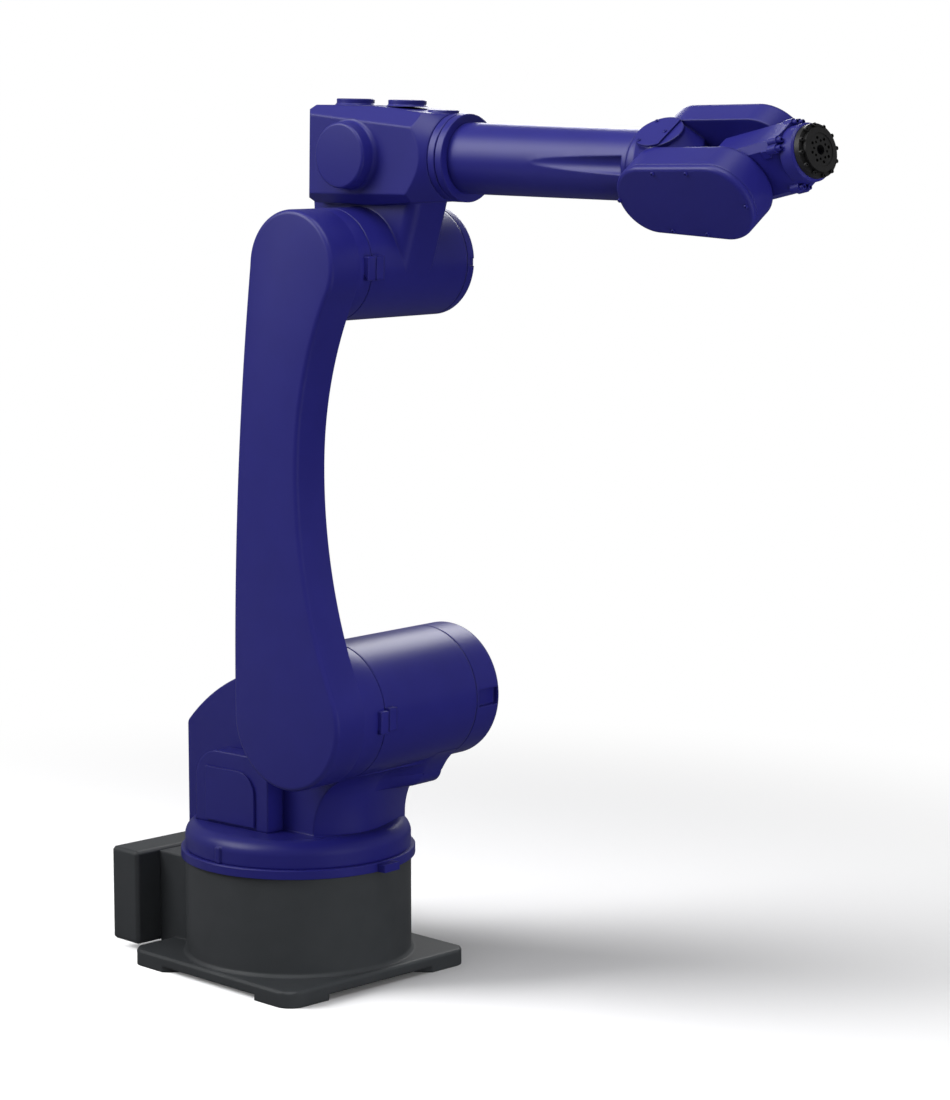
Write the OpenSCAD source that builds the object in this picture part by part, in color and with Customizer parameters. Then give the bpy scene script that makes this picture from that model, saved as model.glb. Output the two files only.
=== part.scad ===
// Six-axis industrial robot arm, all sizes in millimetres, +Z up.
// The origin is the middle of the base on the floor. +X is the base's front.

/* [Pose] */
// Turn of the turntable from straight ahead, in degrees
turn = 4.7; // [0:0.1:8]
// Forward lean of the lower arm from upright, in degrees
lean = 1.5; // [0:0.1:4]
// Dip of the forearm below level, in degrees
dip = 1.2; // [0:0.1:4]
// Roll of the forearm about its own axis, in degrees
roll = 33; // [20:0.5:45]
// Upward tilt of the wrist in its fork, in degrees
tilt = 15.5; // [5:0.5:25]

/* [Base] */
// Width and depth of the square foot plate
plate_w = 400; // [390:1:440]
// Radius of the plate's corners
plate_r = 30; // [20:1:40]
// Height of the plate's top above the floor
plate_top = 27; // [24:1:32]
// Bevel along the plate's top edge
plate_edge = 4; // [2:0.5:6]
// Height of the four corner feet
foot_h = 10; // [6:1:12]
// Radius of each corner foot
foot_r = 60; // [50:1:66]
// Radius of the machined seat under the drum
seat_r = 130; // [110:1:150]
// Radius of the base drum
drum_r = 187; // [180:1:190]
// Height of the drum's top above the floor
drum_top = 189; // [180:1:200]
// Width of the cable box behind the drum
box_w = 310; // [290:1:330]
// Depth of the cable box, front to back
box_d = 68; // [60:1:80]
// Distance of the cable box's back face from the turning axis
box_back = 302; // [295:1:315]
// Height of the cable box's underside above the floor
box_low = 15; // [12:1:20]
// Height of the cable box's top above the floor
box_top = 175; // [165:1:185]
// Bevel of the cable box's edges
box_edge = 5; // [3:0.5:8]
// Width of the neck between drum and cable box
box_neck_w = 210; // [190:1:230]

/* [Turntable] */
// Radius of the thin ring under the turntable
ring_r = 194; // [192:0.5:198]
// Height of that ring
ring_h = 15; // [12:1:18]
// Width of the ring's pointer lug
lug_w = 36; // [28:1:44]
// Length of the lug beyond the ring
lug_out = 15; // [10:1:18]
// Radius of the turntable's skirt
skirt_r = 187; // [180:1:190]
// Height of the skirt
skirt_h = 44; // [40:1:52]
// Rounding of the skirt's top edge
skirt_round = 24; // [18:1:28]
// Forward distance of the shoulder axis from the turning axis
shoulder_x = 162; // [155:1:175]
// Height of the shoulder axis above the floor
shoulder_z = 460; // [455:1:480]
// Radius of the shoulder housing
shoulder_r = 110; // [106:1:112]
// Distance of the shoulder seam to the near side of the middle plane
shoulder_near = 84; // [82:1:88]
// Distance of the shoulder housing's far seam from the middle plane
shoulder_far = 138; // [130:1:145]
// Length of the shoulder's end cap
shoulder_cap_l = 62; // [55:1:70]
// Distance of the cheek's upright back edge behind the turning axis
cheek_back = 171; // [160:1:176]
// Distance of the neck's front face from the turning axis
neck_front = 114; // [108:1:120]
// Radius of the hollow curve between the neck's front and the shoulder housing
neck_flare = 110; // [95:1:120]
// Distance of the turn motor's box face to the near side of the middle plane
motor_box_out = 120; // [110:1:124]
// Height of that box's top above the floor
motor_box_top = 370; // [360:1:380]

/* [Lower arm] */
// Distance from the shoulder axis to the elbow axis
arm_len = 711; // [700:1:730]
// Distance of the arm's outer face from the middle plane
arm_face = 199; // [196:1:205]
// Thickness of the arm's blade
arm_t = 65; // [60:1:66]
// Radius of the arm's lower end
arm_low_r = 112; // [111:0.5:115]
// Radius of the arm's upper end
arm_top_r = 88; // [86:0.5:90]
// Distance of the waist's front edge from the line between the axes
waist_front = 18; // [14:1:24]
// Height of the waist above the shoulder axis
waist_z = 410; // [390:1:430]
// Radius of the back edge's slight bow
back_r = 5500; // [4500:100:7000]

/* [Elbow] */
// Height of the forearm axis above the elbow axis
elbow_rise = 169; // [165:1:180]
// Radius of the elbow housing
elbow_r = 88; // [84:1:90]
// Distance of the elbow seam to the near side of the middle plane
elbow_near = 106; // [104:1:110]
// Distance of the elbow housing's far seam from the middle plane
elbow_far = 118; // [110:1:125]
// Length of the elbow's end cap
elbow_cap_l = 20; // [16:1:24]
// Half width of the elbow's gear box
gear_box_y = 75; // [73:1:78]
// Half height of the elbow's gear box
gear_box_z = 76; // [74:1:79]
// Bevel along the gear box's long edges
gear_box_bevel = 14; // [10:1:18]
// Length of the gear box behind the elbow axis
gear_box_back = 87; // [80:1:94]
// Half width of the neck under the gear box
elbow_neck_y = 44; // [40:1:48]
// Radius of the round motor cover on the gear box's side
motor_cap_r = 51; // [46:1:54]
// Height of that motor cover
motor_cap_t = 27; // [22:1:29]
// Radius of the two round caps on the gear box's top
top_cap_r = 30; // [26:0.5:33]
// Height of those caps
top_cap_h = 10; // [8:0.5:12]

/* [Forearm] */
// Distance from the elbow axis to the front of the rolling ring, along the forearm
ring_front = 190; // [186:1:196]
// Radius of the rolling ring
roll_ring_r = 67.5; // [66:0.5:70]
// Width of each of the two rings
roll_ring_w = 14; // [12:1:18]
// Radius of the forearm tube at the ring
tube_r = 54.5; // [52:0.5:57]
// Radius of the forearm tube at the fork
tube_front_r = 53; // [50:0.5:54]
// Distance from the elbow axis to the wrist's tilting axis, along the forearm
wrist_x = 710; // [700:1:730]
// Distance of the fork's rear end round behind the tilting axis
fork_l = 117; // [112:1:125]
// Radius of the fork arms at the tilting axis
fork_r = 62; // [60:0.5:64]
// Radius of the fork arms at their rear end
fork_rear_r = 57; // [54:0.5:60]
// Half width of the gap between the fork arms
fork_gap = 35; // [34:0.5:38]
// Distance of the near arm's outer face from the middle plane, without its cover
fork_near_out = 80; // [76:1:84]
// Thickness of the near arm's cover
fork_cover_t = 10; // [8:1:12]
// Distance of the far arm's outer face from the middle plane
fork_far_out = 75; // [70:1:80]
// Radius of the round cap on the fork's root
fork_cap_r = 36.5; // [34:0.5:40]

/* [Wrist] */
// Half width of the wrist body
wrist_half_w = 33; // [30:0.5:33]
// Half height of the wrist body
wrist_half_h = 45; // [42:1:47]
// Bevel along the wrist body's long edges
wrist_bevel = 10; // [6:1:13]
// Length of the wrist body in front of its tilting axis
wrist_front = 105; // [100:1:112]
// Length of the wrist body behind its tilting axis
wrist_back = 50; // [44:1:52]
// Radius of the collar in front of the wrist body
collar_r = 42; // [41:0.5:44]
// Length of that collar
collar_l = 24; // [20:1:28]
// Radius of the black flange ring
flange_ring_r = 38.5; // [38:0.5:40]
// Length of the flange ring
flange_ring_l = 9; // [8:0.5:11]
// Radius of the raised front disc
flange_disc_r = 31.5; // [31:0.5:33]
// Height of the front disc above the flange ring
flange_disc_l = 6; // [5:0.5:8]
// Radius of the flange's centre bore
flange_bore_r = 7.3; // [6:0.1:8]
// Radius of the shallow dish round the tool screw holes
dish_r = 24; // [21:0.5:26]
// Depth of that dish
dish_depth = 1; // [0.5:0.1:1.5]
// Diameter of the circle of tool screw holes
tool_pcd = 35; // [34:0.5:37]
// Number of tool screw holes
tool_holes = 8; // [6:1:8]
// Radius of a tool screw hole
tool_hole_r = 2.4; // [2:0.1:2.6]
// Diameter of the inner circle of holes
inner_pcd = 26; // [25:0.5:27]
// Radius of a hole in the inner circle
inner_hole_r = 2; // [1.6:0.1:2.2]

/* [Fits] */
// Gap at the seams between pieces that turn against each other
seam = 0.8; // [0.5:0.1:0.9]
// Depth and width of the groove at a fixed seam
groove = 1.5; // [1:0.1:2]

/* [Hidden] */
$fn = 64;
robot_blue = [0.17, 0.16, 0.46];
charcoal = [0.18, 0.19, 0.2];
flange_black = [0.1, 0.1, 0.1];
// Longer than the whole object, for cuts that pass right through
big = 1500;
// How far a form is sunk into the one that carries it, in the same casting
sunk = 2;
// Fine bevel on the rims of rings and caps
fine_edge = 1;
// How far a blended face starts inside the round that it runs into
blend_step = 0.4;
ring_low = drum_top + seam;
ring_top = ring_low + ring_h;
deck = ring_top + skirt_h;

// Frames of the five links, each carried by the one before
module at_turntable() rotate([0, 0, turn]) children();
module at_shoulder() at_turntable() translate([shoulder_x, 0, shoulder_z]) children();
module at_lower_arm() at_shoulder() rotate([0, lean, 0]) children();
module at_elbow() at_lower_arm() translate([0, 0, arm_len]) rotate([0, dip - lean, 0]) children();
module at_gear_box() at_elbow() translate([0, 0, elbow_rise]) children();
module at_forearm() at_gear_box() rotate([roll, 0, 0]) children();
module at_fork() at_forearm() translate([wrist_x, 0, 0]) children();
module at_wrist() at_fork() rotate([0, -tilt, 0]) children();

// A flat outline in the X-Z plane, drawn through from y0 to y1
module across(y0, y1) translate([0, y1, 0]) rotate([90, 0, 0]) linear_extrude(y1 - y0) children();

// A flat outline in the Y-Z plane, drawn through from x0 to x1
module along(x0, x1) translate([x0, 0, 0]) rotate([90, 0, 90]) linear_extrude(x1 - x0) children();

// A round body about the Y axis, from an outline of radius against distance along +Y
module turned_y(y0) translate([0, y0, 0]) rotate([-90, 0, 0]) rotate_extrude() children();

// A rectangle with round corners, centred
module round_rect(w, d, r) {
    square([w - 2 * r, d], center = true);
    square([w, d - 2 * r], center = true);
    for (x = [-1, 1], y = [-1, 1])
        translate([x * (w / 2 - r), y * (d / 2 - r)]) circle(r);
}

// A rectangle with bevelled corners, centred
module bevel_rect(w, d, c)
    polygon([[w / 2 - c, d / 2], [w / 2, d / 2 - c], [w / 2, c - d / 2], [w / 2 - c, -d / 2],
             [c - w / 2, -d / 2], [-w / 2, c - d / 2], [-w / 2, d / 2 - c], [c - w / 2, d / 2]]);

// A trapezium that is w wide at height z and narrows upwards at 45 degrees, from z - down to z + up
module bevel_strip(w, z, down, up)
    polygon([[-w / 2 - down, z - down], [w / 2 + down, z - down], [w / 2 - up, z + up],
             [up - w / 2, z + up]]);

// A box between two corners with every edge bevelled
module bevel_box(low, high, c) {
    size = high - low;
    translate((low + high) / 2) hull() {
        cube(size - [2 * c, 2 * c, 0], center = true);
        cube(size - [2 * c, 0, 2 * c], center = true);
        cube(size - [0, 2 * c, 2 * c], center = true);
    }
}

// Outline of a blade with a round of radius r0 at the origin and one of radius r1 at x = -l
module blade(r0, r1, l) {
    slant = asin((r0 - r1) / l);
    circle(r0);
    translate([-l, 0]) circle(r1);
    polygon([[-r0 * sin(slant), r0 * cos(slant)], [-l - r1 * sin(slant), r1 * cos(slant)],
             [-l - r1 * sin(slant), -r1 * cos(slant)], [-r0 * sin(slant), -r0 * cos(slant)]]);
}

// Base
drum_foot = 5;
foot_pad_in = 48;
module base_plate() {
    flat = plate_w - 2 * plate_r;
    diagonal = flat * sqrt(2) + 2 * plate_r;
    edge_z = plate_top - plate_edge;
    intersection() {
        translate([0, 0, foot_h]) linear_extrude(plate_top - foot_h) round_rect(plate_w, plate_w, plate_r);
        across(-big / 2, big / 2) bevel_strip(plate_w, edge_z, plate_top, 2 * plate_edge);
        along(-big / 2, big / 2) bevel_strip(plate_w, edge_z, plate_top, 2 * plate_edge);
        rotate(45) across(-big / 2, big / 2) bevel_strip(diagonal, edge_z, plate_top, 2 * plate_edge);
        rotate(45) along(-big / 2, big / 2) bevel_strip(diagonal, edge_z, plate_top, 2 * plate_edge);
    }
}
module base_casting() color(charcoal) {
    base_plate();
    linear_extrude(foot_h + sunk) intersection() {
        round_rect(plate_w, plate_w, plate_r);
        for (x = [-1, 1], y = [-1, 1])
            translate([x, y] * (plate_w / 2 - foot_pad_in)) circle(foot_r);
    }
    cylinder(r = seat_r, h = plate_top);
    rotate_extrude()
        polygon([[0, foot_h + sunk], [drum_r + drum_foot, foot_h + sunk], [drum_r + drum_foot, plate_top],
                 [drum_r, plate_top + drum_foot], [drum_r, drum_top], [0, drum_top]]);
    translate([-box_back + box_d, -box_neck_w / 2, box_low])
        cube([box_back - box_d - drum_r / 2, box_neck_w, box_top - box_low - box_edge]);
}

module cable_box() color(charcoal)
    bevel_box([-box_back, -box_w / 2, box_low], [-box_back + box_d, box_w / 2, box_top], box_edge);

// Turntable
pointer_w = 11;
pointer_out = 3;
pointer_root = 10;
lug_step = 2;
pointer_h = 26;
pointer_turn = -90;
module slew_ring() color(robot_blue) at_turntable() translate([0, 0, ring_low]) {
    rotate_extrude()
        polygon([[0, 0], [ring_r, 0], [ring_r, ring_h - groove], [ring_r - groove, ring_h], [0, ring_h]]);
    translate([ring_r - lug_out, -lug_w / 2, 0]) cube([2 * lug_out, lug_w, ring_h - lug_step]);
}

// Side view of the cheek and neck that carry the shoulder housing
cheek_arc_r = 337;
cheek_arc = [83, 181];
cheek_round = 14;
cheek_over = 4;
flare_root = 10;
module cheek_profile() {
    round_x = cheek_round - cheek_back;
    rise = sqrt(pow(cheek_arc_r - cheek_round, 2) - pow(cheek_arc[0] - round_x, 2));
    corner = [round_x, cheek_arc[1] + rise];
    reach = 2 * cheek_round * (corner - cheek_arc) / norm(corner - cheek_arc);
    left = [-2 * cheek_round, 0];
    difference() {
        intersection() {
            translate(cheek_arc) circle(cheek_arc_r, $fn = 128);
            translate([-cheek_back, ring_top]) square([cheek_back + neck_front, cheek_arc_r]);
        }
        difference() {
            polygon([corner, corner + left, corner + left + reach, corner + reach]);
            translate(corner) circle(cheek_round);
        }
    }
}
module flare_profile() {
    flare_x = neck_front + neck_flare;
    axis = [shoulder_x, shoulder_z];
    reach = shoulder_r + neck_flare - blend_step;
    middle = [flare_x, shoulder_z - sqrt(reach * reach - pow(flare_x - shoulder_x, 2))];
    difference() {
        polygon([[neck_front - flare_root, middle[1]], middle, axis, [neck_front - flare_root, shoulder_z]]);
        translate(middle) circle(neck_flare, $fn = 128);
    }
}

// Rounded lobe under the housing's far end, with a hollow blend on its front
lobe_r = 27;
lobe_at = [6, -122];
lobe_blend = 110;
lobe_w = 46;
module lobe_profile() {
    dist = norm(lobe_at);
    toward = lobe_at / dist;
    side = [-toward[1], toward[0]];
    reach = (pow(shoulder_r + lobe_blend, 2) - pow(lobe_r + lobe_blend, 2) + dist * dist) / (2 * dist);
    blend = reach * toward + sqrt(pow(shoulder_r + lobe_blend, 2) - reach * reach) * side;
    translate(lobe_at) circle(lobe_r);
    difference() {
        polygon([lobe_at, [0, 0], blend]);
        translate(blend) circle(lobe_blend);
    }
}

// Raised marks on either side of a turning seam, at a housing of radius r whose seam is at y
mark_w = 18;
mark_h = 37;
mark_out = 8;
mark_root = 20;
module seam_mark(r, y, side)
    translate([r - mark_root, min(y, y + side * mark_w), -mark_h / 2])
        cube([mark_root + mark_out, mark_w, mark_h]);

module turntable_casting() color(robot_blue) {
    at_turntable() {
        translate([0, 0, ring_top]) rotate_extrude() {
            square([skirt_r - skirt_round, skirt_h]);
            square([skirt_r, skirt_h - skirt_round]);
            translate([skirt_r - skirt_round, skirt_h - skirt_round]) intersection() {
                circle(skirt_round);
                square(skirt_round);
            }
        }
        rotate(pointer_turn) translate([skirt_r - pointer_root, -pointer_w / 2, ring_top])
            cube([pointer_root + pointer_out, pointer_w, pointer_h]);
        intersection() {
            across(-shoulder_near, shoulder_far) cheek_profile();
            translate([0, 0, ring_top]) cylinder(r = skirt_r + cheek_over, h = big);
        }
        across(-shoulder_near, shoulder_far) flare_profile();
    }
    at_shoulder() {
        across(-shoulder_near, shoulder_far) circle(shoulder_r);
        across(shoulder_far - lobe_w, shoulder_far - fine_edge) lobe_profile();
        seam_mark(shoulder_r, -shoulder_near, 1);
    }
}

// Motor box beside the cheek, with a large round at its top left
motor_box_x = [-118, 46];
motor_box_round = 50;
module turn_motor_box() color(robot_blue) at_turntable() across(-motor_box_out, -shoulder_near) {
    box_w0 = motor_box_x[1] - motor_box_x[0];
    translate([motor_box_x[0], deck]) square([box_w0, motor_box_top - deck - motor_box_round]);
    translate([motor_box_x[0] + motor_box_round, 0]) {
        translate([0, deck]) square([box_w0 - motor_box_round, motor_box_top - deck]);
        translate([0, motor_box_top - motor_box_round]) circle(motor_box_round);
    }
}

motor_cover_t = 4;
motor_cover_r = 36;
motor_cover_x = [-92, 18];
motor_cover_z = [254, 343];
module turn_motor_cover() color(robot_blue) at_turntable()
    across(-motor_box_out - motor_cover_t, -motor_box_out) {
        cover = [motor_cover_x[1] - motor_cover_x[0], motor_cover_z[1] - motor_cover_z[0]];
        translate([motor_cover_x[0], motor_cover_z[0]]) square(cover - [motor_cover_r, 0]);
        translate([motor_cover_x[0], motor_cover_z[0]]) square(cover - [0, motor_cover_r]);
        translate([motor_cover_x[1], motor_cover_z[1]] - motor_cover_r * [1, 1]) circle(motor_cover_r);
    }

// End caps: a groove at the seam, a round rim, and a notch on the front
module end_cap(r, l, rim) {
    square([r - groove, groove]);
    translate([0, groove]) square([r, l - groove - rim]);
    square([r - rim, l]);
    translate([r - rim, l - rim]) intersection() {
        circle(rim);
        square(rim);
    }
}
cap_rim = 12;
cap_notch = [10, 28];
cap_notch_from = 6;
cap_notch_rim = 9;
module shoulder_end_cap() color(robot_blue) at_shoulder() difference() {
    turned_y(shoulder_far) end_cap(shoulder_r, shoulder_cap_l, cap_rim);
    translate([shoulder_r - cap_notch[0], shoulder_far + cap_notch_from, -cap_notch[1] / 2])
        cube([2 * cap_notch[0], shoulder_cap_l - cap_notch_from - cap_notch_rim, cap_notch[1]]);
}

// Lower arm
// Radius of the hollow front edge that touches an end of radius r, h below the waist, and where it does so
function hollow_r(r, h) = (h * h + waist_front * waist_front - r * r) / (2 * (r - waist_front));
function hollow_end(r, h) = r * [waist_front + hollow_r(r, h), h] / (hollow_r(r, h) + r);
back_room = 30;
module arm_outline() {
    low_r = arm_low_r - blend_step;
    top_r = arm_top_r - blend_step;
    low_arc = hollow_r(low_r, waist_z);
    top_arc = hollow_r(top_r, waist_z - arm_len);
    top = [0, arm_len];
    bow = back_r - sqrt(back_r * back_r - arm_len * arm_len / 4);
    back_turn = atan((arm_low_r - arm_top_r) / arm_len);
    circle(arm_low_r);
    translate(top) circle(arm_top_r);
    difference() {
        intersection() {
            polygon([[-arm_low_r - back_room, 0], [0, 0], hollow_end(low_r, waist_z),
                     top + hollow_end(top_r, waist_z - arm_len), top, top - [arm_top_r + back_room, 0]]);
            rotate(-back_turn) translate([back_r - bow - arm_low_r, arm_len / 2]) circle(back_r, $fn = 256);
        }
        intersection() {
            translate([waist_front + low_arc, waist_z]) circle(low_arc, $fn = 128);
            translate([0, waist_z - big]) square(big);
        }
        intersection() {
            translate([waist_front + top_arc, waist_z]) circle(top_arc, $fn = 128);
            translate([0, waist_z]) square(big);
        }
    }
}
module lower_arm() color(robot_blue) at_lower_arm() {
    inner = -arm_face + arm_t;
    across(-arm_face, inner) arm_outline();
    across(inner - sunk, -shoulder_near - seam) circle(shoulder_r);
    translate([0, 0, arm_len]) across(inner - sunk, -elbow_near - seam) circle(elbow_r);
    seam_mark(shoulder_r, -shoulder_near - seam, -1);
    translate([0, 0, arm_len]) seam_mark(elbow_r, -elbow_near - seam, -1);
}

// Elbow
nose_front = ring_front - 2 * roll_ring_w - seam;
nose_wide_r = 120;
nose_wide_x = 90;
slope_x = [40, 110];
slope_drop = [5.5, 10];
nose_pad_r = 24;
nose_pad_x = 136;
nose_pad_z = 72;
neck_back = -96;
neck_mid = 45;
neck_slope = 15.5;
neck_l = 110;
neck_h = 136;
neck_round = 20;
end_bevel = 11;
// Degrees by which the long bevels widen towards the nose, at the bottom and at the top
bevel_widening = [1, 3];
module nose_form() rotate([0, 90, 0]) rotate_extrude()
    polygon([[0, -gear_box_back - sunk], [nose_wide_r, -gear_box_back - sunk], [nose_wide_r, nose_wide_x],
             [roll_ring_r, nose_front], [0, nose_front]]);
module gear_box_sides() {
    back = -gear_box_back;
    linear_extrude(big, center = true)
        polygon([[back + end_bevel, -gear_box_y], [nose_front, -gear_box_y], [nose_front, gear_box_y],
                 [back + end_bevel, gear_box_y], [back, gear_box_y - end_bevel],
                 [back, end_bevel - gear_box_y]]);
}
module gear_box_profile() {
    back = -gear_box_back;
    mid = gear_box_z - slope_drop[0];
    low = gear_box_z - slope_drop[1];
    polygon([[back, end_bevel - gear_box_z], [back + end_bevel, -gear_box_z], [slope_x[0], -gear_box_z],
             [slope_x[1], -mid], [nose_front, -low], [nose_front, low], [slope_x[1], mid],
             [slope_x[0], gear_box_z], [back + end_bevel, gear_box_z], [back, gear_box_z - end_bevel]]);
}
// What lies outside the long bevel at one corner of the gear box, y and z each -1 or 1
module bevel_waste(y, z)
    translate([-gear_box_back, y * gear_box_y, z * (gear_box_z - gear_box_bevel)])
        rotate([-y * (90 - 45 * z), 0, 0]) rotate([0, bevel_widening[(z + 1) / 2], 0])
            translate([-big / 2, -big / 2, 0]) cube(big);
module elbow_casting() color(robot_blue) {
    at_elbow() {
        neck_top = elbow_rise - gear_box_z + gear_box_bevel;
        across(-elbow_near, elbow_far) circle(elbow_r);
        across(blend_step - elbow_neck_y, elbow_neck_y - blend_step)
            polygon([[-elbow_r, 0], [neck_back, neck_top], [neck_mid, neck_top], [neck_mid, 0]]);
        rotate([0, neck_slope, 0]) translate([elbow_r - blend_step - neck_l / 2, 0, 0])
            linear_extrude(neck_h) round_rect(neck_l, 2 * elbow_neck_y, neck_round);
        seam_mark(elbow_r, -elbow_near, 1);
    }
    at_gear_box() {
        difference() {
            intersection() {
                gear_box_sides();
                across(-big / 2, big / 2) gear_box_profile();
                nose_form();
            }
            for (y = [-1, 1], z = [-1, 1]) bevel_waste(y, z);
        }
        translate([nose_pad_x, 0, 0]) cylinder(r = nose_pad_r, h = nose_pad_z);
    }
}

elbow_rim = 6;
elbow_notch = [5, 12];
module elbow_end_cap() color(robot_blue) at_elbow() difference() {
    turned_y(elbow_far) end_cap(elbow_r, elbow_cap_l, elbow_rim);
    translate([elbow_r - elbow_notch[0], elbow_far + cap_notch_from, -elbow_notch[1] / 2])
        cube([2 * elbow_notch[0], elbow_cap_l, elbow_notch[1]]);
}

motor_cap_x = 10;
motor_cap_rim = 4;
module wrist_motor_cover() color(robot_blue) at_gear_box()
    translate([motor_cap_x, -gear_box_y, 0]) rotate([90, 0, 0]) rotate_extrude()
        polygon([[0, 0], [motor_cap_r + motor_cap_rim, 0], [motor_cap_r, motor_cap_rim],
                 [motor_cap_r, motor_cap_t - motor_cap_rim], [motor_cap_r - motor_cap_rim, motor_cap_t],
                 [0, motor_cap_t]]);

top_cap_x = [-48, 61];
top_cap_foot = 3;
module top_cap(x) at_gear_box() translate([x, 0, gear_box_z]) rotate_extrude()
    polygon([[0, 0], [top_cap_r + top_cap_foot, 0], [top_cap_r, top_cap_foot],
             [top_cap_r, top_cap_h - fine_edge], [top_cap_r - fine_edge, top_cap_h], [0, top_cap_h]]);
module rear_top_cap() color(robot_blue) top_cap(top_cap_x[0]);
module front_top_cap() color(robot_blue) top_cap(top_cap_x[1]);

// A ring about the X axis with a groove at its back and a fine bevel in front
module roll_ring(x0, w) translate([x0, 0, 0]) rotate([0, 90, 0]) rotate_extrude()
    polygon([[0, 0], [roll_ring_r - groove, 0], [roll_ring_r - groove, groove], [roll_ring_r, groove],
             [roll_ring_r, w - fine_edge], [roll_ring_r - fine_edge, w], [0, w]]);
module fixed_roll_ring() color(robot_blue) at_gear_box() roll_ring(nose_front, roll_ring_w);

// Forearm
fork_root_back = 17;
root_half_l = 44;
fork_root_x = wrist_x - fork_l - fork_root_back;
tube_end = fork_root_x - root_half_l;
scoop_r = 18;
scoop_depth = 8.6;
scoop_l = 156;
scoop_end = 523;
scoop_run = 20;
module rolling_ring() color(robot_blue) at_forearm() roll_ring(ring_front - roll_ring_w, roll_ring_w);

module forearm_tube() color(robot_blue) at_forearm() difference() {
    translate([ring_front, 0, 0]) rotate([0, 90, 0])
        cylinder(r1 = tube_r, r2 = tube_front_r, h = tube_end - ring_front);
    rotate([-roll, 0, 0]) translate([scoop_end, -tube_front_r - scoop_r + scoop_depth, 0])
        rotate([0, 0, atan(scoop_depth / scoop_l)]) rotate([0, -90, 0])
            cylinder(r = scoop_r, h = scoop_l + scoop_run);
}

root_r = 58;
root_flat = 52;
root_waist = 26;
root_top = 58;
module fork_casting() color(robot_blue) {
    at_fork() {
        across(-fork_near_out, -fork_gap) blade(fork_r, fork_rear_r, fork_l);
        across(fork_gap, fork_far_out) blade(fork_r, fork_rear_r, fork_l);
    }
    at_forearm() {
        along(tube_end, fork_root_x) circle(tube_front_r);
        intersection() {
            translate([fork_root_x, 0, 0]) rotate_extrude()
                polygon([[0, -root_top], [fork_cap_r, -root_top], [fork_cap_r, -root_flat],
                         [root_r, -root_waist], [root_r, root_waist], [fork_cap_r, root_flat],
                         [fork_cap_r, root_top], [0, root_top]]);
            along(tube_end, big) square(big, center = true);
        }
    }
}

cover_edge = 3;
module near_fork_cover() color(robot_blue) at_fork() {
    across(-fork_near_out - fork_cover_t + cover_edge, -fork_near_out) blade(fork_r, fork_rear_r, fork_l);
    across(-fork_near_out - fork_cover_t, -fork_near_out)
        blade(fork_r - cover_edge, fork_rear_r - cover_edge, fork_l);
}

fork_cap_t = 3;
fork_cap_flat = 18;
module fork_cap() color(robot_blue) at_forearm() translate([fork_root_x, 0, root_top])
    linear_extrude(fork_cap_t) difference() {
        circle(fork_cap_r);
        translate([fork_cap_flat, -fork_cap_r]) square(2 * fork_cap_r);
    }

// Wrist
hub_r = 40;
wrist_rear_cut = 22;
bolt_circle_r = 46;
bolt_turns = [46, 61];
bolt_lobe_r = 6.5;
bolt_lobe_l = 16;
pad_sunk = 3;
wrist_pad = [14, 5, 12];
module wrist_body() color(robot_blue) at_wrist() {
    intersection() {
        along(-wrist_back, wrist_front) bevel_rect(2 * wrist_half_w, 2 * wrist_half_h, wrist_bevel);
        across(-big / 2, big / 2)
            polygon([[-wrist_back, wrist_rear_cut - wrist_half_h],
                     [wrist_rear_cut - wrist_back, -wrist_half_h], [wrist_front, -wrist_half_h],
                     [wrist_front, wrist_half_h], [wrist_rear_cut - wrist_back, wrist_half_h],
                     [-wrist_back, wrist_half_h - wrist_rear_cut]]);
    }
    across(seam / 2 - fork_gap, fork_gap - seam / 2) circle(hub_r);
    for (y = [-1, 1], z = [-1, 1], t = bolt_turns)
        translate([wrist_front - bolt_lobe_l, y * bolt_circle_r * cos(t), z * bolt_circle_r * sin(t)])
            rotate([0, 90, 0]) cylinder(r = bolt_lobe_r, h = bolt_lobe_l);
    translate([wrist_front - bolt_lobe_l - wrist_pad[0], pad_sunk - wrist_half_w - wrist_pad[1],
               wrist_half_h - wrist_bevel - wrist_pad[2]])
        cube(wrist_pad);
}

collar_edge = 3;
module wrist_collar() color(robot_blue) at_wrist()
    translate([wrist_front, 0, 0]) rotate([0, 90, 0]) rotate_extrude()
        polygon([[0, 0], [collar_r, 0], [collar_r, collar_l - collar_edge],
                 [collar_r - collar_edge, collar_l], [0, collar_l]]);

flange_back = wrist_front + collar_l + seam;
flange_mid = flange_back + flange_ring_l;
flange_face = flange_mid + flange_disc_l;
module flange_ring() color(flange_black) at_wrist() along(flange_back, flange_mid) difference() {
    circle(flange_ring_r);
    circle(flange_bore_r);
}

module hole_ring(pcd, r)
    for (i = [0 : tool_holes - 1])
        rotate(360 / tool_holes * (i + 0.5)) translate([pcd / 2, 0]) circle(r);
module tool_flange() color(flange_black) at_wrist() difference() {
    along(flange_mid, flange_face) difference() {
        circle(flange_disc_r);
        circle(flange_bore_r);
        hole_ring(tool_pcd, tool_hole_r);
        rotate(180 / tool_holes) hole_ring(inner_pcd, inner_hole_r);
    }
    along(flange_face - dish_depth, flange_face + sunk) circle(dish_r);
}

base_casting();
cable_box();
slew_ring();
turntable_casting();
turn_motor_box();
turn_motor_cover();
shoulder_end_cap();
lower_arm();
elbow_casting();
elbow_end_cap();
wrist_motor_cover();
rear_top_cap();
front_top_cap();
fixed_roll_ring();
rolling_ring();
forearm_tube();
fork_casting();
near_fork_cover();
fork_cap();
wrist_body();
wrist_collar();
flange_ring();
tool_flange();
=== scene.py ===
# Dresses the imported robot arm: painted castings with soft edges, machine screws, floor, light and camera.
import math

import bmesh
import bpy
import numpy as np
from mathutils import Matrix, Vector


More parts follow.
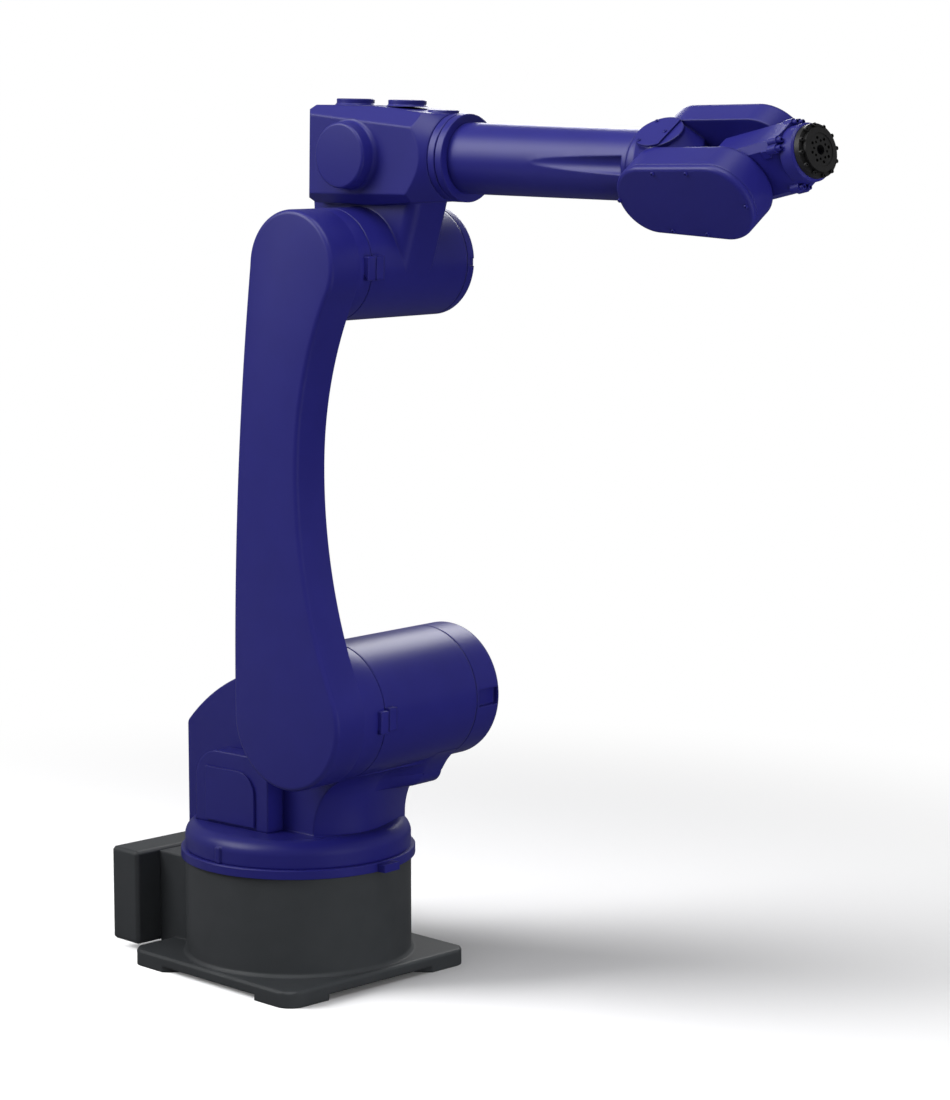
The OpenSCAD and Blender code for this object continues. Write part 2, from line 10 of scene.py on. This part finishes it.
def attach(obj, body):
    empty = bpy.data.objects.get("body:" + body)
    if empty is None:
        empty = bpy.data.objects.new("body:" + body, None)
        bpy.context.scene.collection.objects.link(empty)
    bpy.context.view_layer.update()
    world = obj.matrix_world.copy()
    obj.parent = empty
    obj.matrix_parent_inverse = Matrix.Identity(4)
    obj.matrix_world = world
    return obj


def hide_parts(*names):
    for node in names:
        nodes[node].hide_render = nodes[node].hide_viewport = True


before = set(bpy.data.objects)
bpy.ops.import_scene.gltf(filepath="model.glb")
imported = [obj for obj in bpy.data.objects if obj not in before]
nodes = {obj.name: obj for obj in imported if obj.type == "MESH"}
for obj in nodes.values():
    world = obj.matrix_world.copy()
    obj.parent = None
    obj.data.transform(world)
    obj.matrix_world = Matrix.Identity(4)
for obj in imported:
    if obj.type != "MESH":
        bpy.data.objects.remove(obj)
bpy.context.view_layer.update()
mm = 0.001
print("frame loaded:", len(nodes), "nodes")

# Pose of the links in degrees and distances between their axes in millimetres
pose = {"turn": 4.7, "lean": 1.5, "dip": 1.2, "roll": 33, "tilt": 15.5}
links = {"shoulderX": 162, "shoulderZ": 460, "armLength": 711, "elbowRise": 169, "wristX": 710}


def turned(axis, degrees):
    return Matrix.Rotation(math.radians(degrees), 4, axis)


def moved(x, y, z):
    return Matrix.Translation((x * mm, y * mm, z * mm))


atTurntable = turned("Z", pose["turn"])
atArm = atTurntable @ moved(links["shoulderX"], 0, links["shoulderZ"]) @ turned("Y", pose["lean"])
atElbow = atArm @ moved(0, 0, links["armLength"]) @ turned("Y", pose["dip"] - pose["lean"])
atGearBox = atElbow @ moved(0, 0, links["elbowRise"])
atForearm = atGearBox @ turned("X", pose["roll"])
atFork = atForearm @ moved(links["wristX"], 0, 0)
atWrist = atFork @ turned("Y", -pose["tilt"])


# Materials
# sRGB hex to linear light, by the standard curve
def linearColour(code):
    channels = np.array([int(code[k:k + 2], 16) for k in (1, 3, 5)]) / 255
    low = channels / 12.92
    high = ((channels + 0.055) / 1.055) ** 2.4
    return (*np.where(channels <= 0.04045, low, high).tolist(), 1.0)


def addNode(tree, kind, settings=None, joins=None):
    node = tree.nodes.new("ShaderNode" + kind)
    for name, value in (settings or {}).items():
        if name in node.inputs:
            node.inputs[name].default_value = value
        else:
            setattr(node, name, value)
    for name, source in (joins or {}).items():
        tree.links.new(source, node.inputs[name])
    return node


def newMaterial(name):
    material = bpy.data.materials.new(name)
    material.use_nodes = True
    material.node_tree.nodes.clear()
    return material, material.node_tree


# What all coats share: detail of tone drift and peel, and the part of the noise that the drift spans
coat = {"driftDetail": 3, "driftSpan": (0.3, 0.7), "peelDetail": 2, "edgeSamples": 8}


# A sprayed coat: slight tone drift and orange peel, with sharp edges rounded by the given millimetres
def paintMaterial(name, look, edge=0):
    material, tree = newMaterial(name)
    place = addNode(tree, "TexCoord").outputs["Object"]
    drift = addNode(tree, "TexNoise", {"Scale": 1 / (look["driftSize"] * mm), "Detail": coat["driftDetail"]},
                    {"Vector": place})
    tone = addNode(tree, "ValToRGB", joins={"Fac": drift.outputs["Fac"]})
    stops = zip(tone.color_ramp.elements, coat["driftSpan"], (look["dark"], look["light"]))
    for stop, position, colour in stops:
        stop.position = position
        stop.color = linearColour(colour)
    peel = addNode(tree, "TexNoise", {"Scale": 1 / (look["peelSize"] * mm), "Detail": coat["peelDetail"]},
                   {"Vector": place})
    gloss = addNode(tree, "MapRange", {"To Min": look["rough"][0], "To Max": look["rough"][1]},
                    {"Value": peel.outputs["Fac"]})
    skin = addNode(tree, "Bump", {"Strength": look["bump"], "Distance": look["bumpDepth"] * mm},
                   {"Height": peel.outputs["Fac"]})
    if edge:
        soft = addNode(tree, "Bevel", {"samples": coat["edgeSamples"], "Radius": edge * mm})
        tree.links.new(soft.outputs["Normal"], skin.inputs["Normal"])
    shader = addNode(tree, "BsdfPrincipled", {"Specular IOR Level": look["specular"]},
                     {"Base Color": tone.outputs["Color"], "Roughness": gloss.outputs["Result"],
                      "Normal": skin.outputs["Normal"]})
    addNode(tree, "OutputMaterial", joins={"Surface": shader.outputs["BSDF"]})
    return material


# Satin blue enamel, sprayed on the arm's castings and covers: broad soft highlights and a faint orange peel
blueLook = {"dark": "#242378", "light": "#26257C", "driftSize": 60, "peelSize": 1.6, "rough": (0.34, 0.42),
            "bump": 0.06, "bumpDepth": 0.15, "specular": 0.36}
# Charcoal textured enamel on the base casting and its cable box: rougher, so that its highlights stay faint
charcoalLook = {"dark": "#3B3E41", "light": "#404346", "driftSize": 60, "peelSize": 1.2,
                "rough": (0.46, 0.56), "bump": 0.12, "bumpDepth": 0.2, "specular": 0.45}
# Blackened steel of the tool flange: near black, with small highlights on its rims
steelLook = {"dark": "#161617", "light": "#1C1C1D", "driftSize": 12, "peelSize": 0.6, "rough": (0.34, 0.46),
             "bump": 0.05, "bumpDepth": 0.05, "specular": 0.5}
edgeRound = {"castings": 5, "turnedParts": 1.6}
bluePaint = paintMaterial("satin_blue_enamel", blueLook)
castBlue = paintMaterial("satin_blue_enamel_on_castings", blueLook, edgeRound["castings"])
smallBlue = paintMaterial("satin_blue_enamel_on_turned_parts", blueLook, edgeRound["turnedParts"])
charcoalPaint = paintMaterial("charcoal_enamel", charcoalLook, edgeRound["castings"])
blackSteel = paintMaterial("blackened_steel", steelLook)
nodePaint = {"base_casting": charcoalPaint, "cable_box": charcoalPaint, "flange_ring": blackSteel,
             "tool_flange": blackSteel}
turnedNodes = ("slew_ring", "rear_top_cap", "front_top_cap", "fixed_roll_ring", "rolling_ring", "fork_cap",
               "wrist_body", "wrist_collar", "turn_motor_cover")
nodePaint.update({name: smallBlue for name in turnedNodes})
for name, node in nodes.items():
    node.data.materials.clear()
    node.data.materials.append(nodePaint.get(name, castBlue))
print("materials made")


# Surfaces
# Four-sided faces of a grid whose columns close round on themselves
def gridFaces(rows, columns):
    start = np.arange(rows - 1)[:, None] * columns
    here = np.arange(columns)[None, :]
    after = (here + 1) % columns
    corners = [start + here, start + after, start + columns + after, start + columns + here]
    return np.stack(corners, -1).reshape(-1, 4)


# A closed skin: rows of points round one axis, with a flat face on the first and the last row
def skinPart(points):
    rows, columns = points.shape[:2]
    faces = gridFaces(rows, columns).tolist()
    faces.append(list(range(columns))[::-1])
    faces.append(list(range((rows - 1) * columns, rows * columns)))
    return points.reshape(-1, 3), faces


# Spaces a closed loop evenly along its length and softens its corners by a running mean of the given length
def evenLoop(loop, samples, soften):
    closed = np.concatenate([loop, loop[:1]])
    reach = np.concatenate([[0], np.cumsum(np.linalg.norm(np.diff(closed, axis=0), axis=1))])
    even = np.linspace(0, reach[-1], samples, endpoint=False)
    spaced = np.stack([np.interp(even, reach, closed[:, k]) for k in (0, 1)], 1)
    half = int(round(soften / 2 / (reach[-1] / samples)))
    return np.mean([np.roll(spaced, k, 0) for k in range(-half, half + 1)], 0)


# A plate with quarter-round edges: a closed outline in X and Z, moved inwards along its normals row by row
def platePart(outline, y0, y1, round0, round1, steps=7):
    ahead = np.roll(outline, -1, 0) - np.roll(outline, 1, 0)
    normal = np.stack([ahead[:, 1], -ahead[:, 0]], 1) / np.linalg.norm(ahead, axis=1, keepdims=True)
    sweep = np.linspace(0, math.pi / 2, steps)
    inset = np.concatenate([round0 * (1 - np.sin(sweep)), round1 * (1 - np.cos(sweep))])
    depth = np.concatenate([y0 + round0 * (1 - np.cos(sweep)), y1 - round1 * (1 - np.sin(sweep))])
    flat = outline[None] - inset[:, None, None] * normal[None]
    across = np.broadcast_to(depth[:, None], flat.shape[:2])
    return skinPart(np.stack([flat[..., 0], across, flat[..., 1]], -1))


# A small raised block: a rectangle with round corners, as a plate with the same round on its edges
def blockPart(low, high, edge, corners=24, steps=4):
    size = (np.array(high, float) - low) / 2
    around = np.linspace(0, 2 * math.pi, corners, endpoint=False) + math.pi / corners
    turn = np.stack([np.cos(around), np.sin(around)], 1)
    outline = np.sign(turn) * (size[[0, 2]] - edge) + edge * turn + (np.array(low) + size)[[0, 2]]
    return platePart(outline, low[1], high[1], edge, edge, steps)


# A turned body: radius and distance along an axis, swept round it
def turnedPart(profile, columns, axis, centre=(0, 0, 0)):
    around = np.linspace(0, 2 * math.pi, columns, endpoint=False)
    radius, reach = np.array(profile, float).T
    ring = radius[:, None, None] * np.stack([np.cos(around), np.sin(around)], -1)[None]
    along = np.broadcast_to(reach[:, None], ring.shape[:2])
    order = {"x": (along, ring[..., 0], ring[..., 1]), "y": (ring[..., 1], along, ring[..., 0]),
             "z": (ring[..., 0], ring[..., 1], along)}[axis]
    return skinPart(np.stack(order, -1) + np.array(centre, float))


sharpAngle = math.radians(32)


# Joins parts given in millimetres in a link's own frame into one mesh in the shared frame
def makePiece(name, parts, place, body, material, replaced=()):
    points, faces, count = [], [], 0
    for partPoints, partFaces in parts:
        faces += [[corner + count for corner in face] for face in partFaces]
        points.append(partPoints)
        count += len(partPoints)
    local = np.concatenate(points) * mm
    turn = np.array(place)
    mesh = bpy.data.meshes.new(name)
    mesh.from_pydata((local @ turn[:3, :3].T + turn[:3, 3]).tolist(), [], faces)
    shell = bmesh.new()
    shell.from_mesh(mesh)
    bmesh.ops.recalc_face_normals(shell, faces=shell.faces)
    shell.to_mesh(mesh)
    shell.free()
    mesh.polygons.foreach_set("use_smooth", np.ones(len(mesh.polygons), bool))
    mesh.set_sharp_from_angle(angle=sharpAngle)
    mesh.materials.append(material)
    piece = bpy.data.objects.new(name, mesh)
    bpy.context.collection.objects.link(piece)
    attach(piece, body)
    if replaced:
        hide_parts(*replaced)


# Lower arm: a blade, a turned boss on each end that runs to its seam, and a raised mark beside each seam
armSize = {"face": 199, "thickness": 65, "lowRadius": 112, "topRadius": 88, "waistFront": 18,
           "waistHeight": 410, "backArc": 5500, "edge": 8, "innerEdge": 0.2, "soften": 8,
           "outlineSteps": 1500, "samples": 900, "shoulder": 110, "elbow": 88, "shoulderSeam": 84.8,
           "elbowSeam": 106.8, "bossEdge": 1, "bossSink": 4, "bossLip": 0.5, "bossColumns": 160,
           "markWidth": 18, "markHeight": 37, "markOut": 8, "markSink": 20, "markEdge": 2}
armInner = armSize["thickness"] - armSize["face"]


# Half widths against height: two round ends, a front edge of two hollow arcs that meet at the waist and
# run tangent into the ends, and a back edge that tapers in a slight bow
def armOutline(size, length):
    low, top = size["lowRadius"], size["topRadius"]
    sweep = np.linspace(0, math.pi, size["outlineSteps"])
    height = (length + top - low) / 2 - (length + top + low) / 2 * np.cos(sweep)
    lowEnd = np.sqrt(np.clip(low ** 2 - height ** 2, 0, None))
    topEnd = np.sqrt(np.clip(top ** 2 - (height - length) ** 2, 0, None))
    ends = np.maximum(lowEnd, topEnd)
    between = (height > 0) & (height < length)
    waist, waistHeight = size["waistFront"], size["waistHeight"]
    radius = np.where(height < waistHeight, low, top)
    drop = np.where(height < waistHeight, waistHeight, waistHeight - length)
    arc = (drop ** 2 + waist ** 2 - radius ** 2) / (2 * (radius - waist))
    hollow = waist + arc - np.sqrt(np.clip(arc ** 2 - (height - waistHeight) ** 2, 0, None))
    touch = radius * drop / (arc + radius)
    inside = (height > touch[0]) & (height < length + touch[-1])
    taper = low + (top - low) * height / length
    bow = (height - length / 2) ** 2 - (length / 2) ** 2
    front = np.where(inside, np.maximum(hollow, ends), ends)
    back = np.where(between, np.maximum(taper - bow / (2 * size["backArc"]), ends), ends)
    loop = np.concatenate([np.stack([front, height], 1), np.stack([-back, height], 1)[-2:0:-1]])
    return evenLoop(loop, size["samples"], size["soften"])


# Radius against distance: a slight cone from the blade's inner face to the seam, with a bevelled rim
def armBoss(size, near, far, seam, height):
    edge = size["bossEdge"]
    profile = [(near - edge, armInner - size["bossSink"]), (near, armInner - size["bossLip"]),
               (far, -seam - edge), (far - edge, -seam)]
    return turnedPart(profile, size["bossColumns"], "y", (0, 0, height))


def armMark(size, radius, seam, height):
    low = (radius - size["markSink"], -seam - size["markWidth"], height - size["markHeight"] / 2)
    high = (radius + size["markOut"], -seam, height + size["markHeight"] / 2)
    return blockPart(low, high, size["markEdge"])


armParts = [platePart(armOutline(armSize, links["armLength"]), -armSize["face"], armInner, armSize["edge"],
                      armSize["innerEdge"]),
            armBoss(armSize, armSize["lowRadius"], armSize["shoulder"], armSize["shoulderSeam"], 0),
            armBoss(armSize, armSize["topRadius"], armSize["elbow"], armSize["elbowSeam"],
                    links["armLength"]),
            armMark(armSize, armSize["shoulder"], armSize["shoulderSeam"], 0),
            armMark(armSize, armSize["elbow"], armSize["elbowSeam"], links["armLength"])]
makePiece("curved_lower_arm", armParts, atArm, "lower_arm", bluePaint, ("lower_arm",))
print("lower arm made")

# Neck of the turntable, in millimetres in the turntable's frame
neckSize = {"front": 114.3, "flare": 110, "flareReach": 105, "foot": 249.3, "bulge": 43, "bulgeHeight": 140,
            "nearPower": 2, "farPower": 1.5, "near": -83.7, "far": 137.7, "low": 239.8, "high": 374,
            "back": 60, "lobeRadius": 27.3, "lobeX": 168, "lobeZ": 338, "lobeFrom": 15, "lobeTo": 91,
            "hollow": 109.7, "hollowX": 293.9, "hollowZ": 283.9, "hollowFrom": 335, "rows": 150, "columns": 110}


# Rises from 0 to 1, level at both ends
def easedStep(value):
    value = np.clip(value, 0, 1)
    return value ** 2 * (3 - 2 * value)


# Front against width and height: a flare, which is a hollow arc that rises into the shoulder housing, and a
# bulge over the foot that dies away upwards; at the far end it swells into the housing's lobe, which is a
# half round under a hollow arc
def neckPart(size):
    z = np.linspace(size["low"], size["high"], size["rows"])[:, None]
    y = np.linspace(size["near"], size["far"], size["columns"])[None, :]
    rise = np.clip(z - size["foot"], 0, size["flareReach"])
    flare = size["flare"] - np.sqrt(size["flare"] ** 2 - rise ** 2)
    nearSwell = 1 - np.abs(y / size["near"]) ** size["nearPower"]
    farSwell = 1 - np.abs(y / size["far"]) ** size["farPower"]
    fading = 1 - easedStep((z - size["foot"]) / size["bulgeHeight"])
    front = size["front"] + flare + size["bulge"] * np.where(y < 0, nearSwell, farSwell) * fading
    below = size["lobeZ"] - z
    half = size["lobeX"] + np.sqrt(np.clip(size["lobeRadius"] ** 2 - below ** 2, 0, None))
    hollow = size["hollowX"] - np.sqrt(size["hollow"] ** 2 - (z - size["hollowZ"]) ** 2)
    lobe = np.where(z < size["hollowFrom"], np.where(below < size["lobeRadius"], half, 0), hollow)
    share = easedStep((y - size["lobeFrom"]) / (size["lobeTo"] - size["lobeFrom"]))
    x = front + share * np.clip(lobe - front, 0, None)
    skin = np.stack(np.broadcast_arrays(x, y, z), -1)
    back = np.stack([skin[:, -1], skin[:, 0]], 1)
    back[..., 0] = size["back"]
    return skinPart(np.concatenate([skin, back], 1))


makePiece("round_neck", [neckPart(neckSize)], atTurntable, "turntable", bluePaint)
print("neck made")

# Near cover of the wrist fork: a plate with a soft outer edge
coverSize = {"front": 62, "rear": 57, "length": 117, "inner": 80, "outer": 90, "edge": 7, "innerEdge": 0.5,
             "arcSteps": 200, "samples": 320}


# Two rounds of different radius, joined by straight lines tangent to both
def coverOutline(size):
    slant = math.asin((size["front"] - size["rear"]) / size["length"])
    half = math.pi / 2 + slant
    nose = np.linspace(-half, half, size["arcSteps"])
    tail = np.linspace(half, 2 * math.pi - half, size["arcSteps"])
    front = size["front"] * np.stack([np.cos(nose), np.sin(nose)], 1)
    rear = size["rear"] * np.stack([np.cos(tail), np.sin(tail)], 1) - [size["length"], 0]
    return evenLoop(np.concatenate([front, rear]), size["samples"], 0)


cover = platePart(coverOutline(coverSize), -coverSize["outer"], -coverSize["inner"], coverSize["edge"],
                  coverSize["innerEdge"])
makePiece("soft_fork_cover", [cover], atFork, "forearm", bluePaint, ("near_fork_cover",))
print("fork cover made")

# Wrist motor cover: a turned boss on the gear box's near wall
motorSize = {"radius": 51, "height": 27, "fillet": 6, "rim": 5, "sink": 1, "x": 10, "wall": 75, "arcSteps": 9,
             "columns": 128}


# Radius against distance: a quarter arc that runs out into the wall, a straight side and a quarter-round rim
def filletedBoss(size):
    sweep = np.linspace(0, math.pi / 2, size["arcSteps"])
    foot = np.stack([size["radius"] + size["fillet"] * (1 - np.sin(sweep)),
                     size["fillet"] * (1 - np.cos(sweep))], 1)
    rim = np.stack([size["radius"] - size["rim"] * (1 - np.cos(sweep)),
                    size["height"] - size["rim"] * (1 - np.sin(sweep))], 1)
    return np.concatenate([foot[:1] - [0, size["sink"]], foot, rim]) * [1, -1]


motorCover = turnedPart(filletedBoss(motorSize), motorSize["columns"], "y",
                        (motorSize["x"], -motorSize["wall"], 0))
makePiece("soft_motor_cover", [motorCover], atGearBox, "elbow", bluePaint,
          ("wrist_motor_cover",))
print("motor cover made")

# Screws: what all heads share, and below it each set with its head and its places
screwForm = {"columns": 20, "sink": 1, "socketFloor": 0.45}


# A turned head with a bevelled rim and a round socket, repeated at each place; sign turns it round
def screwParts(places, head, axis, sign=1):
    radius, height, socket, bevel = head["radius"], head["height"], head["socket"], head["bevel"]
    profile = [(radius, -screwForm["sink"]), (radius, height - bevel), (radius - bevel, height),
               (socket, height), (socket, height * screwForm["socketFloor"])]
    turnedProfile = np.array(profile) * [1, sign]
    return [turnedPart(turnedProfile, screwForm["columns"], axis, place) for place in places]


# A point of the circle on which a set of screws lies, at an angle, mirrored by the signs of y and z
def ringPlace(screws, angle, y=1, z=1):
    return (screws["x"], y * screws["ring"] * math.cos(angle), z * screws["ring"] * math.sin(angle))


coverScrews = {"radius": 3.2, "height": 2.2, "socket": 1.6, "bevel": 0.8,
               "places": ((-92, 49), (-32, 51.5), (53, 0), (-170, 0), (-92, -49), (-32, -51.5))}
coverPlaces = [(x, -coverSize["outer"], z) for x, z in coverScrews["places"]]
makePiece("fork_cover_screws", screwParts(coverPlaces, coverScrews, "y", -1), atFork, "forearm",
          bluePaint)

capScrews = {"radius": 3.2, "height": 1.6, "socket": 1.7, "bevel": 0.5, "x": 576, "z": 61,
             "places": ((11, 0), (-20, 25), (-20, -25))}
capPlaces = [(capScrews["x"] + x, y, capScrews["z"]) for x, y in capScrews["places"]]
makePiece("fork_cap_screws", screwParts(capPlaces, capScrews, "z"), atForearm, "forearm",
          bluePaint)

wristScrews = {"radius": 4, "height": 7, "socket": 2.1, "bevel": 0.6, "x": 105, "ring": 46.5,
               "angles": (46, 61)}
wristPlaces = [ringPlace(wristScrews, a, y, z)
               for y in (-1, 1) for z in (-1, 1) for a in np.radians(wristScrews["angles"])]
makePiece("wrist_screws", screwParts(wristPlaces, wristScrews, "x"), atWrist, "wrist",
          bluePaint)

rimScrews = {"radius": 3.1, "height": 3.6, "socket": 1.5, "bevel": 0.5, "x": 138.8, "ring": 35.9, "count": 12}
rimAngles = np.arange(rimScrews["count"]) * 2 * math.pi / rimScrews["count"]
rimPlaces = [ringPlace(rimScrews, a) for a in rimAngles]
makePiece("flange_rim_screws", screwParts(rimPlaces, rimScrews, "x"), atWrist, "flange",
          blackSteel)
print("screws made")

# Studio: pale floor that fades to white, an even surround, softboxes at the upper left, above and behind,
# and a fill from the right
studio = {"floorSize": 24, "floorColour": "#ECECED", "floorBounce": "#606062", "fadeFrom": 0.8, "fadeTo": 2.2,
          "surround": 0.24}
corners = [(-1, -1), (1, -1), (1, 1), (-1, 1)]
floorMesh = bpy.data.meshes.new("floor")
floorMesh.from_pydata([(x * studio["floorSize"] / 2, y * studio["floorSize"] / 2, 0) for x, y in corners], [],
                      [(0, 1, 2, 3)])
floor = bpy.data.objects.new("floor", floorMesh)
bpy.context.collection.objects.link(floor)
# Matt studio paper, white in the distance; the light that it throws back is dimmer than what is seen of it
paper, paperTree = newMaterial("matt_paper")
paperPlace = addNode(paperTree, "TexCoord").outputs["Object"]
distance = addNode(paperTree, "VectorMath", {"operation": "LENGTH"}, {"Vector": paperPlace}).outputs["Value"]
fade = addNode(paperTree, "MapRange", {"interpolation_type": "SMOOTHSTEP", "From Min": studio["fadeFrom"],
                                       "From Max": studio["fadeTo"]}, {"Value": distance})
pale = addNode(paperTree, "BsdfDiffuse", {"Color": linearColour(studio["floorColour"])})
white = addNode(paperTree, "Emission", {"Color": (1, 1, 1, 1), "Strength": 1.0})
bounce = addNode(paperTree, "BsdfDiffuse", {"Color": linearColour(studio["floorBounce"])})
shown = addNode(paperTree, "MixShader", joins={"Fac": fade.outputs["Result"]})
paperTree.links.new(pale.outputs["BSDF"], shown.inputs[1])
paperTree.links.new(white.outputs["Emission"], shown.inputs[2])
seenPaper = addNode(paperTree, "MixShader",
                    joins={"Fac": addNode(paperTree, "LightPath").outputs["Is Camera Ray"]})
paperTree.links.new(bounce.outputs["BSDF"], seenPaper.inputs[1])
paperTree.links.new(shown.outputs["Shader"], seenPaper.inputs[2])
addNode(paperTree, "OutputMaterial", joins={"Surface": seenPaper.outputs["Shader"]})
floorMesh.materials.append(paper)

# White where the camera sees past the floor, and a dim even light for the object
world = bpy.data.worlds.new("studio")
bpy.context.scene.world = world
world.use_nodes = True
sky = world.node_tree
sky.nodes.clear()
seen = addNode(sky, "LightPath").outputs["Is Camera Ray"]
strength = addNode(sky, "MapRange", {"To Min": studio["surround"], "To Max": 1.0}, {"Value": seen})
surround = addNode(sky, "Background", {"Color": (1, 1, 1, 1)}, {"Strength": strength.outputs["Result"]})
addNode(sky, "OutputWorld", joins={"Surface": surround.outputs["Background"]})


# A round area lamp at a place in metres, turned to its target
def softLight(name, place, target, size, watts, spread=180, gloss=True, receiver=None):
    data = bpy.data.lights.new(name, "AREA")
    data.shape = "DISK"
    data.size = size
    data.energy = watts
    data.spread = math.radians(spread)
    lamp = bpy.data.objects.new(name, data)
    lamp.location = place
    lamp.rotation_euler = (Vector(target) - Vector(place)).to_track_quat("-Z", "Y").to_euler()
    lamp.visible_camera = False
    lamp.visible_glossy = gloss
    lamp.light_linking.receiver_collection = receiver
    bpy.context.collection.objects.link(lamp)


# The floor has a low light of its own from the left, and the back light leaves it out, so that it keeps
# the shadow
def receivers(name, state):
    group = bpy.data.collections.new(name)
    group.objects.link(floor)
    group.collection_objects[0].light_linking.link_state = state
    return group


onlyFloor = receivers("floor_only", "INCLUDE")
notFloor = receivers("all_but_floor", "EXCLUDE")
softLight("upper_left_softbox", place=(-0.6, -1.45, 2.4), target=(0.25, -0.1, 1.35), size=2.6, watts=13,
          spread=60)
softLight("right_fill", place=(2.2, 0.1, 0.35), target=(0.2, 0, 0.6), size=1.6, watts=24, gloss=False)
softLight("top_softbox", place=(0.9, -0.5, 3.0), target=(0.5, 0, 1.3), size=1.6, watts=10, spread=120)
softLight("back_softbox", place=(-0.8, 1.85, 2.05), target=(0.15, 0, 0.6), size=1.2, watts=24,
          receiver=notFloor)
softLight("floor_softbox", place=(-2.4, -2.4, 1.5), target=(0.2, 0.2, 0), size=2.6, watts=280, gloss=False,
          receiver=onlyFloor)

# Camera as fitted to the photograph: place in metres, sensor and lens in millimetres, turns in degrees
view = {"place": (3.7861, -3.3654, 1.4071), "pitch": 81.99, "heading": 45.05, "sensor": 36, "lens": 102.05}
cameraData = bpy.data.cameras.new("photo_camera")
cameraData.sensor_fit = "VERTICAL"
cameraData.sensor_height = view["sensor"]
cameraData.lens = view["lens"]
camera = bpy.data.objects.new("photo_camera", cameraData)
camera.location = view["place"]
camera.rotation_euler = (math.radians(view["pitch"]), 0, math.radians(view["heading"]))
bpy.context.collection.objects.link(camera)
bpy.context.scene.camera = camera
bpy.context.scene.view_settings.view_transform = "Standard"
print("studio made")
